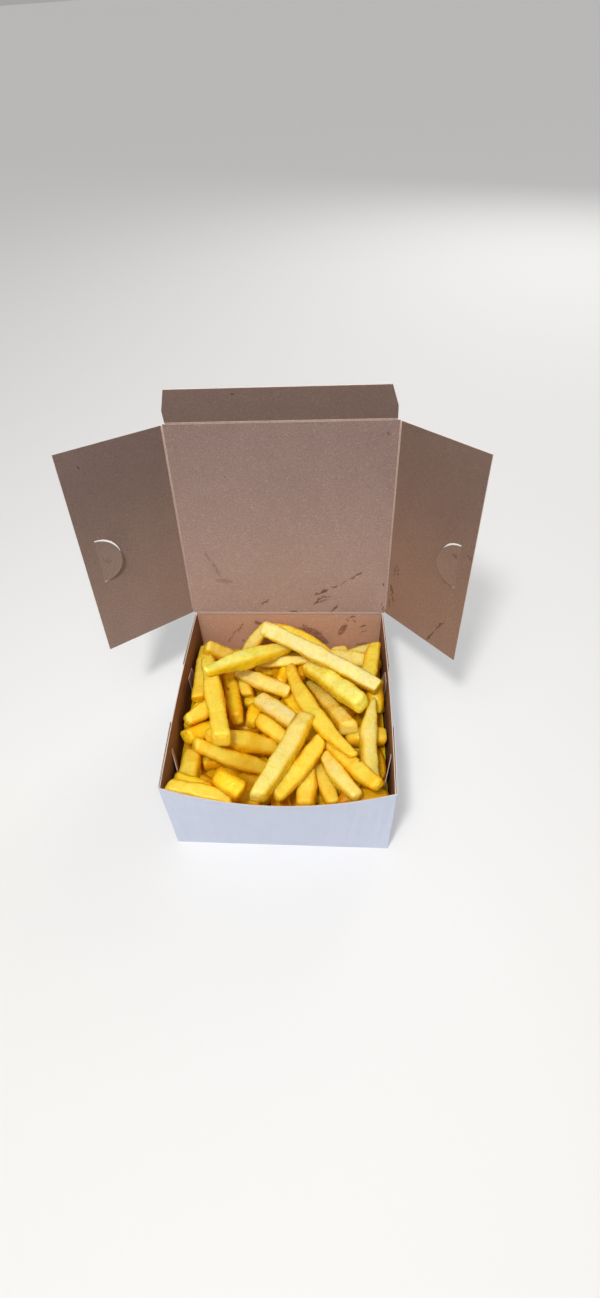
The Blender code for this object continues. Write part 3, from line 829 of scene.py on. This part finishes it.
def fry_mesh(fry, look, rng, count, sides, relief, facing=0):
    """One fry: its points, faces and colours. Its section is a rounded square that varies along it.

    count and sides say how many rings and points it has, relief how rough it is in millimetres, and
    facing how far it is rolled towards the viewer.
    """
    start, end, thickness, bow, tip1, tip2 = fry
    run = end - start
    length = run.length
    ahead = run.normalized()
    side = Vector((0, 0, 1)).cross(ahead).normalized()
    up = ahead.cross(side)
    half_a = thickness / 2 * rng.uniform(*FRY_SIZE)
    half_b = thickness / 2 * rng.uniform(*FRY_SIZE)
    viewer = camera_axes()[2]
    roll = either_way(rng, FRY_ROLL) - facing * math.atan2(viewer.dot(side), viewer.dot(up))
    twist = either_way(rng, FRY_TWIST)
    power = rng.uniform(*FRY_SQUARE)
    slants = [(either_way(rng, FRY_SLANT), either_way(rng, FRY_SLANT)) for _ in range(2)]
    sway = either_way(rng, FRY_SWAY) * MM
    phase = Vector([rng.uniform(0, NOISE_SPREAD) for _ in range(3)])
    browned = (rng.uniform(0, 1), rng.uniform(0, 1))
    face, edge = (Vector(c) for c in LOOKS[look][:2])
    edge_share = LOOKS[look][2]
    points, tints, rings = [], [], []
    for t in end_stations(count, length):
        from_end = min(t, 1 - t) * length
        size = taper(t, tip1) * taper(1 - t, tip2)
        size *= END_SIZE + (1 - END_SIZE) * math.sqrt(1 - (1 - min(1, from_end / END_SOFT)) ** 2)
        along = t * length / MM * SWELL_SCALE
        wide = 1 + SWELL * noise.noise(phase + Vector((along, 0, 0)))
        tall = 1 + SWELL * noise.noise(phase + Vector((0, along, 0)))
        centre = start + run * t + side * bow * (1 - (2 * t - 1) ** 2)
        centre += up * sway * math.sin(math.pi * t)
        turn = roll + twist * (2 * t - 1)
        lean, brown = (slants[0], browned[0]) if t < 0.5 else (slants[1], browned[1])
        leaning = 1 - smooth(0, thickness * SLANT_REACH, from_end)
        end_glow = 1 - smooth(*BROWN_END, from_end)
        ring = []
        for k in range(sides):
            angle = 2 * math.pi * (k + 0.5) / sides
            ca, sa = math.cos(angle), math.sin(angle)
            a = math.copysign(abs(ca) ** power, ca) * half_a * size * wide
            b = math.copysign(abs(sa) ** power, sa) * half_b * size * tall
            a, b = a * math.cos(turn) - b * math.sin(turn), a * math.sin(turn) + b * math.cos(turn)
            place = centre + side * a + up * b + ahead * (lean[0] * a + lean[1] * b) * leaning
            out = (side * a + up * b).normalized()
            spot = place / MM
            rough = sum(share * noise.noise(spot * scale + phase) for share, scale in RELIEF)
            place += out * rough * relief * MM
            corner = smooth(*CORNERS, abs(ca * sa) * 2)
            patch = smooth(*PATCHES, noise.noise(spot * PATCH_SCALE - phase))
            amount = edge_share * (corner + END_BROWN * end_glow * brown + PATCH_BROWN * patch)
            ring.append(len(points))
            points.append(place)
            tints.append(face.lerp(edge, min(1, amount)))
        rings.append(ring)
    faces = []
    for low, high in zip(rings, rings[1:]):
        faces += band(low, high)
    for ring, direction, flip in ((rings[0], -ahead, True), (rings[-1], ahead, False)):
        middle = sum((points[i] for i in ring), Vector()) / sides
        inner = ring
        for share, bulge in END_CAPS:
            loop = []
            for i in ring:
                place = middle.lerp(points[i], share) + direction * bulge * MM
                place += direction * CAP_RELIEF * noise.noise(place / MM * CAP_SCALE + phase) * MM
                loop.append(len(points))
                points.append(place)
                tints.append(tints[i].lerp(face, CAP_PALE))
            faces += band(inner, loop, flip)
            inner = loop
        tip = len(points)
        points.append(middle + direction * CAP_TIP * MM)
        tints.append(tints[ring[0]].lerp(face, CAP_PALE))
        for here, after in zip(inner, inner[1:] + inner[:1]):
            faces.append((here, tip, after) if flip else (here, after, tip))
    for point in points:
        point.z = min(point.z, under_lid(point.y))
    return points, faces, tints


def under_lid(y):
    """How high a fry may stand at y, so that the lid stays clear of it at its limit."""
    hinge = LID_FRAME.translation
    lid = hinge.z + (hinge.y - y) * math.tan(LID_LIMIT)
    return lid - (BOARD / 2 + LID_ROOM) / math.cos(LID_LIMIT)


def band(first, second, flip=False):
    """The faces between two rings of points."""
    faces = []
    for k in range(len(first)):
        m = (k + 1) % len(first)
        quad = (first[k], first[m], second[m], second[k])
        faces.append(quad[::-1] if flip else quad)
    return faces


def joined(name, parts, material):
    """One object from several meshes with colours."""
    points, faces, tints = [], [], []
    for some_points, some_faces, some_tints in parts:
        base = len(points)
        points += some_points
        tints += some_tints
        faces += [tuple(base + i for i in f) for f in some_faces]
    mesh = smooth_mesh(name, points, faces)
    layer = mesh.color_attributes.new("tint", "FLOAT_COLOR", "POINT")
    layer.data.foreach_set("color", np.array([(*t, 1) for t in tints], np.float32).ravel())
    mesh.update()
    return add_object(name, mesh, material)


# Noises: the scale, the detail and the roughness
MOTTLE = (200.0, 4.0, 0.6)
FINE = (900.0, 4.0, 0.65)
BLISTER = (420.0, 3.0, 0.55)

# The mottles' tint and a paler colour between them, the sheen's tint, how far light sinks in, the relief
MOTTLED = (0.98, 0.92, 0.60)
PALER = (0.98, 0.85, 0.45)
SHEEN = (1.0, 0.86, 0.35, 1)
SINK_RADIUS = (1.0, 0.62, 0.10)
SINK_SCALE = 4.5 * MM
POTATO_RELIEF = (0.6 * MM, 0.7)

# Dark spots on the fries: the photograph's pixel, the radius in millimetres and the darkness
DARK_SPOTS = (
    (228, 689, 1.5, 0.75), (226, 687, 0.7, 0.7), (360, 761, 1.1, 0.85), (264, 634, 0.7, 0.5),
    (340, 706, 0.6, 0.4), (366, 700, 0.6, 0.4), (371, 728, 0.5, 0.4), (188, 722, 0.8, 0.4),
    (174, 756, 0.7, 0.4), (186, 801, 0.9, 0.35), (204, 752, 0.6, 0.35), (259, 808, 0.8, 0.4),
)
SPOT_COLOUR = (0.28, 0.12, 0.01)
SPOT_WOBBLE = 2.4 * MM
SPOT_CORE = 0.35

# Painted light and shade: the fries are painted pale where they face up and forward, towards the light,
# and deeper golden on their other sides, away from it
PAINTED_LIGHT_FROM = (-0.10, -0.45, 0.887)
PAINTED_SIDE_SHADE = (1.06, 0.84, 0.06)


def potato_material(name):
    """Fried potato: the mesh's own tint with finer mottling, painted shade on its sides away from the
    light, a slight sheen and light that sinks in.
    """
    n = Nodes(name)
    coords = n.make("TexCoord")
    where = coords.outputs["Object"]
    tint = n.attribute("tint").outputs["Color"]
    mottle, fine, blister = (n.noise(where, *kind) for kind in (MOTTLE, FINE, BLISTER))
    colour = n.mix(n.ramp(mottle, 0.3, 0.6), n.tinted(tint, MOTTLED), tint)
    flecks = n.times(n.ramp(fine, 0.55, 0.75), 0.5)
    colour = n.mix(flecks, colour, n.mix(0.3, tint, PALER))
    from_eye = n.vector("SUBTRACT", where, tuple(EYE))
    wobble = n.times(n.math("SUBTRACT", fine, 0.5), SPOT_WOBBLE)
    for px, py, size, dark in DARK_SPOTS:
        aside = n.vector("CROSS_PRODUCT", from_eye, tuple(sight_line(px, py)))
        distance = n.math("ADD", n.vector("LENGTH", aside), wobble)
        spot = n.times(n.ramp(distance, size * MM, SPOT_CORE * size * MM), dark)
        colour = n.mix(spot, colour, SPOT_COLOUR)
    # Painted shade: faces turned away from the light are tinted deeper golden
    facing = n.vector("DOT_PRODUCT", coords.outputs["Normal"], PAINTED_LIGHT_FROM)
    colour = n.mix(n.ramp(facing, 0.95, 0.3), colour, n.tinted(colour, PAINTED_SIDE_SHADE))
    rough = n.math("ADD", 0.06, n.times(blister, 0.46))
    n.surface(Base_Color=colour, Roughness=rough, Specular_IOR_Level=0.5, Specular_Tint=SHEEN)
    n.surface(Subsurface_Weight=0.8, Subsurface_Radius=SINK_RADIUS, Subsurface_Scale=SINK_SCALE)
    n.bump(n.math("ADD", n.times(fine, 0.35), blister), *POTATO_RELIEF)
    return n.material


# The core's top: its grid, its relief in millimetres, on what scale, and how far it is lowered
CORE_GRID = 40
CORE_RELIEF = 1.6
CORE_SCALE = 0.14
CORE_DROP = 1 * MM


def core_object(ground, material):
    """The heap's own core, under every fry."""
    half_x = side_face(TRAY_D / 2, 0) - BOARD - CLEARANCE
    half_y = TRAY_D / 2 - BOARD - CLEARANCE
    bm = bmesh.new()
    bmesh.ops.create_grid(bm, x_segments=CORE_GRID, y_segments=CORE_GRID, size=1)
    near = np.arange(-CORE_REACH, CORE_REACH + 1) * CELL
    for vert in bm.verts:
        x, y = vert.co.x * half_x, vert.co.y * half_y
        lowest = float(np.min(ground.under(x + near[:, None], y + near[None, :])))
        z = max(float(core_height(x, y)), lowest - CORE_DEPTH)
        z += CORE_RELIEF * MM * noise.noise(Vector((x, y, 0)) / MM * CORE_SCALE)
        vert.co = (x, y, z - CORE_DROP)
    grown = bmesh.ops.extrude_edge_only(bm, edges=[e for e in bm.edges if e.is_boundary])
    for vert in (v for v in grown["geom"] if isinstance(v, bmesh.types.BMVert)):
        vert.co.z = BOARD + CLEARANCE
    bmesh.ops.triangle_fill(bm, use_beauty=True, edges=[e for e in bm.edges if e.is_boundary])
    bmesh.ops.recalc_face_normals(bm, faces=bm.faces)
    points = [v.co.copy() for v in bm.verts]
    faces = [tuple(v.index for v in f.verts) for f in bm.faces]
    bm.free()
    # The core is deep golden, as painted shade in the gaps between the fries
    deep = Vector(LOOKS["deep"][0])
    return joined("heap_core", [(points, faces, [deep] * len(points))], material)


def build_fries():
    """The real fries, in place of the part's plain heap."""
    material = potato_material("fried_potato")
    ground, hidden, seen, fill = lay_fries()
    rng = random.Random(SEED + 1)
    # The fries under those that show are gold and deep golden, as painted shade in the gaps
    under = [fry_mesh(f, "gold", rng, *UNDER) for f in hidden]
    shown = [fry_mesh(f, row[8], rng, *SHOWN, FACING) for f, row in zip(seen, FRIES)]
    under += [fry_mesh(f, look, rng, *UNDER) for f, look in zip(fill, cycle(FILL_LOOKS))]
    heap = joined("heap_fries", shown, material)
    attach(heap, "tray")
    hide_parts("fries")
    for piece in (joined("heap_under_fries", under, material), core_object(ground, material)):
        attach(piece, "tray")


# Creases

CREASE_HALF = 1.15 * MM
CREASE_RISE = 0.28 * MM
CREASE_DARK = (0.37, 0.255, 0.215)
CREASE_WORN = (0.55, 0.41, 0.36)
BOARD_ROUGH = 0.85
CREASE_RELIEF = (0.08 * MM, 0.6)

# A strip's points across, its rings, the steps that its bend is followed in, how much of it bends, and
# how far across it two points at its middle are worked out
ACROSS = [u / 10 for u in range(-10, 11)]
STRIP_RINGS = 36
BEND_STEPS = 12
BEND = 0.55
STRIP_ENDS = 0.9

# Its two ridges, the score between them, and how far its faces stand proud or are sunk
RIDGE_AT = 0.42
RIDGE_WIDTH = 0.2
SCORE_DEPTH = 0.5
PROUD = 0.03 * MM
SUNK = 0.1 * MM

# Half of the back and front strips' lengths, and the side strips' gap at each end
BACK_STRIP = 63.2 * MM
FRONT_STRIP = 63.4 * MM
SIDE_STRIP_GAP = 1.6 * MM


def crease_strip(name, hinge, along, toward_parent, inward, fold, span, material):
    """A crease between two panels: pressed board with two fine ridges inside, bent by the fold.

    hinge is its middle, toward_parent the way to the parent's panel, inward the way that the parent's
    inside faces, and fold how far the child is turned inward.
    """
    def point(u, x, inside):
        return crease_point(hinge, toward_parent, inward, fold, u, along * x, inside)

    points, rings = [], []
    for i in range(STRIP_RINGS + 1):
        x = span[0] + (span[1] - span[0]) * i / STRIP_RINGS
        ring = [point(u, x, True) for u in ACROSS] + [point(u, x, False) for u in reversed(ACROSS)]
        rings.append(range(len(points), len(points) + len(ring)))
        points += ring
    faces = []
    for first, second in zip(rings, rings[1:]):
        faces += band(first, second)
    faces += [tuple(reversed(rings[0])), tuple(rings[-1])]
    mesh = smooth_mesh(name, points, faces)
    inner = mesh.attributes.new("inner", "FLOAT", "POINT")
    inner.data.foreach_set("value", ([1.0] * len(ACROSS) + [0.0] * len(ACROSS)) * len(rings))
    bm = bmesh.new()
    bm.from_mesh(mesh)
    bmesh.ops.recalc_face_normals(bm, faces=bm.faces)
    bm.to_mesh(mesh)
    bm.free()
    obj = add_object(name, mesh, material)
    middle = (span[0] + span[1]) / 2
    start, end = point(-STRIP_ENDS, middle, None), point(STRIP_ENDS, middle, None)
    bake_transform(obj)


def crease_point(hinge, toward_parent, inward, fold, u, offset, inside):
    """A crease's point at u, from -1 on the parent to 1 on the child: inside, outside or midway."""
    place = Vector((0, 0, 0))
    for i in range(BEND_STEPS):
        angle = fold * smooth(-BEND, BEND, u * (i + 0.5) / BEND_STEPS)
        direction = -toward_parent * math.cos(angle) + inward * math.sin(angle)
        place += direction * u * CREASE_HALF / BEND_STEPS
    angle = fold * smooth(-BEND, BEND, u)
    normal = inward * math.cos(angle) + toward_parent * math.sin(angle)
    if inside is None:
        height = 0
    elif inside:
        ridges = math.exp(-((abs(u) - RIDGE_AT) / RIDGE_WIDTH) ** 2)
        ridges -= SCORE_DEPTH * math.exp(-(u / RIDGE_WIDTH) ** 2)
        height = BOARD / 2 + PROUD + CREASE_RISE * max(0, ridges)
    else:
        height = -BOARD / 2 + SUNK
    return hinge + offset + place + normal * height


def crease_material():
    """Board at a crease: worn paler inside, and white outside."""
    n = Nodes("crease_board")
    speck = n.noise(n.make("TexCoord").outputs["Object"], *SPECK)
    colour = n.mix(n.ramp(speck, 0.35, 0.7), CREASE_DARK, CREASE_WORN)
    inner = n.ramp(n.attribute("inner").outputs["Fac"], 0.4, 0.6)
    n.surface(Base_Color=n.mix(inner, WHITE, colour), Roughness=BOARD_ROUGH)
    n.bump(speck, *CREASE_RELIEF)
    return n.material


def build_creases():
    """The creases between the tray, the lid and its flaps."""
    material = crease_material()
    lid = LID_FRAME.to_3x3()
    right, toward_hinge, up = (lid @ Vector(v) for v in ((1, 0, 0), (0, 1, 0), (0, 0, 1)))
    inward = -up
    crease_strip("crease_back", LID_FRAME.translation, Vector((1, 0, 0)), Vector((0, 0, -1)),
                 Vector((0, -1, 0)), math.pi / 2 - LID_OPEN, (-BACK_STRIP, BACK_STRIP),
                 material)
    for name, body, side, fold in (("crease_left", "left_flap", -1, LEFT_FOLD),
                                   ("crease_right", "right_flap", 1, RIGHT_FOLD)):
        place = LID_FRAME @ Vector((side * LID_W / 2, 0, 0))
        crease_strip(name, place, toward_hinge, -right * side, inward, fold,
                     (-LID_L + SIDE_STRIP_GAP, -SIDE_STRIP_GAP), material)
    place = LID_FRAME @ Vector((0, -LID_L, 0))
    crease_strip("crease_front", place, right, toward_hinge, inward, FRONT_FOLD,
                 (-FRONT_STRIP, FRONT_STRIP), material)


# The lock tongues that lean in off the side walls: the side, where the top starts on the wall, where its
# corner is and where the free edge ends, as y and z, and how far that end stands off, in millimetres
TONGUES = (
    ("tongue_left_front", -1, (-36, 55), (-38.5, 55.5), (-47, 38), 3.2),
    ("tongue_right_front", 1, (-38, 57), (-41, 57.5), (-50, 40), 3.0),
    ("tongue_left_back", -1, (20, 52), (30, 51), (34, 36), 2.0),
    ("tongue_right_back", 1, (16, 56), (25, 55), (30, 40), 2.0),
)
TONGUE_FOOT = 22

# How far a tongue stands off at its root and top and how much more at its foot, its gap to the wall and
# its thickness, in millimetres, and its relief
TONGUE_ROOT = 0.2
TONGUE_TOP = 0.35
TONGUE_FLARE = 0.3
TONGUE_GAP = 0.1
TONGUE_BOARD = 0.4
TONGUE_RELIEF = (0.06 * MM, 0.5)


def build_tongues(material):
    """Each tongue is a leaf of board that leans off the wall, so that its edge and a gap show."""
    for name, side, root, top, low, off in TONGUES:
        bm = bmesh.new()
        verts = []
        for y, z, stand in ((*root, TONGUE_ROOT), (*top, TONGUE_TOP), (*low, off),
                            (low[0] - 1, TONGUE_FOOT, off + TONGUE_FLARE),
                            (root[0], TONGUE_FOOT, TONGUE_ROOT)):
            wall = side_face(y * MM, z * MM / TRAY_H) - BOARD - TONGUE_GAP * MM
            verts.append(bm.verts.new((side * (wall - stand * MM), y * MM, z * MM)))
        bmesh.ops.triangulate(bm, faces=[bm.faces.new(verts)])
        bmesh.ops.subdivide_edges(bm, edges=bm.edges, cuts=2, use_grid_fill=True)
        bmesh.ops.solidify(bm, geom=bm.faces, thickness=TONGUE_BOARD * MM)
        bmesh.ops.recalc_face_normals(bm, faces=bm.faces)
        obj = add_object(name, mesh_of(bm, name), material)
        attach(obj, "tray")


def tongue_material():
    """Board seen on a cut edge: brown, paler where it looks up or forward."""
    n = Nodes("tongue_board")
    coords = n.make("TexCoord")
    speck = n.noise(coords.outputs["Object"], *SPECK)
    kraft = n.mix(n.ramp(speck, 0.35, 0.7), KRAFT_DARK, KRAFT)
    edge = n.ramp(n.math("ABSOLUTE", n.axis(coords.outputs["Normal"], "X")), 0.7, 0.4)
    n.surface(Base_Color=n.mix(edge, kraft, CUT), Roughness=BOARD_ROUGH)
    n.bump(speck, *TONGUE_RELIEF)
    return n.material


# The scene

# The floor's size, colour and roughness, the light from all round, the wide light from above, and the
# lamps: name, place, size, power and colour
FLOOR_SIZE = 60
FLOOR_COLOUR = (0.78, 0.78, 0.78, 1)
FLOOR_ROUGH = 0.9
ROUND_COLOUR = (1.0, 0.98, 0.95, 1)
ROUND_STRENGTH = 0.38
SUN_STRENGTH = 0.86
SUN_WIDTH = math.radians(50)
SUN_FROM = (-0.10, -0.52, 1)
LIGHTS = (
    ("key", (-0.10, -0.36, 0.76), 0.10, 3.4, (1, 0.98, 0.95)),
    ("rear", (0.5, 1.1, 0.8), 1.0, 5.0, (1, 0.99, 0.97)),
    ("fill", (0.4, -0.9, 0.5), 0.9, 0.4, (1, 0.98, 0.95)),
)
SENSOR = 36
CLIP_START = 0.01


def dress_board():
    """Give each panel of the carton its board."""
    panels = (
        ("lid", LID_FRAME, LID_STAINS), ("left_flap", LEFT_FRAME, LEFT_STAINS),
        ("right_flap", RIGHT_FRAME, RIGHT_STAINS), ("front_flap", FRONT_FRAME, FRONT_STAINS),
    )
    for name, panel, stains in panels:
        sides = panel_sides(panel)
        assign(name, board_material("board_" + name, sides, ((panel, stains),), PAINTED_SHADES[name]))
    walls = ((BACK_WALL_FRAME, BACK_WALL_MARKS), (LEFT_WALL_FRAME, LEFT_WALL_STAINS))
    assign("tray", board_material("board_tray", tray_sides, walls, PAINTED_SHADES["tray"]))


def assign(node, material):
    """Put a material in every slot of a CAD node."""
    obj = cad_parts[node]
    for slot in obj.material_slots:
        slot.material = material


def build_stage():
    """A plain pale floor, soft studio light and the camera."""
    scene = bpy.context.scene
    scene.view_settings.view_transform = "Standard"
    bm = bmesh.new()
    bmesh.ops.create_grid(bm, x_segments=1, y_segments=1, size=FLOOR_SIZE)
    n = Nodes("floor")
    n.surface(Base_Color=FLOOR_COLOUR, Roughness=FLOOR_ROUGH)
    floor = add_object("floor", mesh_of(bm, "floor"), n.material)

    world = bpy.data.worlds.new("studio")
    scene.world = world
    world.use_nodes = True
    background = world.node_tree.nodes["Background"]
    background.inputs["Color"].default_value = ROUND_COLOUR
    background.inputs["Strength"].default_value = ROUND_STRENGTH

    sun = bpy.data.lights.new("ceiling", "SUN")
    sun.energy = SUN_STRENGTH
    sun.angle = SUN_WIDTH
    aim(add_object("ceiling", sun), -Vector(SUN_FROM))
    for name, place, size, power, colour in LIGHTS:
        lamp = bpy.data.lights.new(name, "AREA")
        lamp.shape = "DISK"
        lamp.size = size
        lamp.energy = power
        lamp.color = colour
        obj = add_object(name, lamp)
        obj.location = place
        aim(obj, TARGET - Vector(place))

    right, up, back = camera_axes()
    camera = bpy.data.cameras.new("camera")
    camera.sensor_width = SENSOR
    camera.lens = FOCAL_PX / PHOTO_H * camera.sensor_width
    camera.shift_x = (PHOTO_W / 2 - CENTRE_PX[0]) / PHOTO_H
    camera.shift_y = (CENTRE_PX[1] - PHOTO_H / 2) / PHOTO_H
    camera.clip_start = CLIP_START
    obj = add_object("camera", camera)
    obj.matrix_world = Matrix((right, up, back)).transposed().to_4x4()
    obj.location = TARGET + DISTANCE * back
    scene.camera = obj


def aim(obj, direction):
    """Point a light in a direction."""
    obj.rotation_euler = direction.to_track_quat("-Z", "Y").to_euler()


dress_board()
build_fries()
build_creases()
build_tongues(tongue_material())
build_stage()
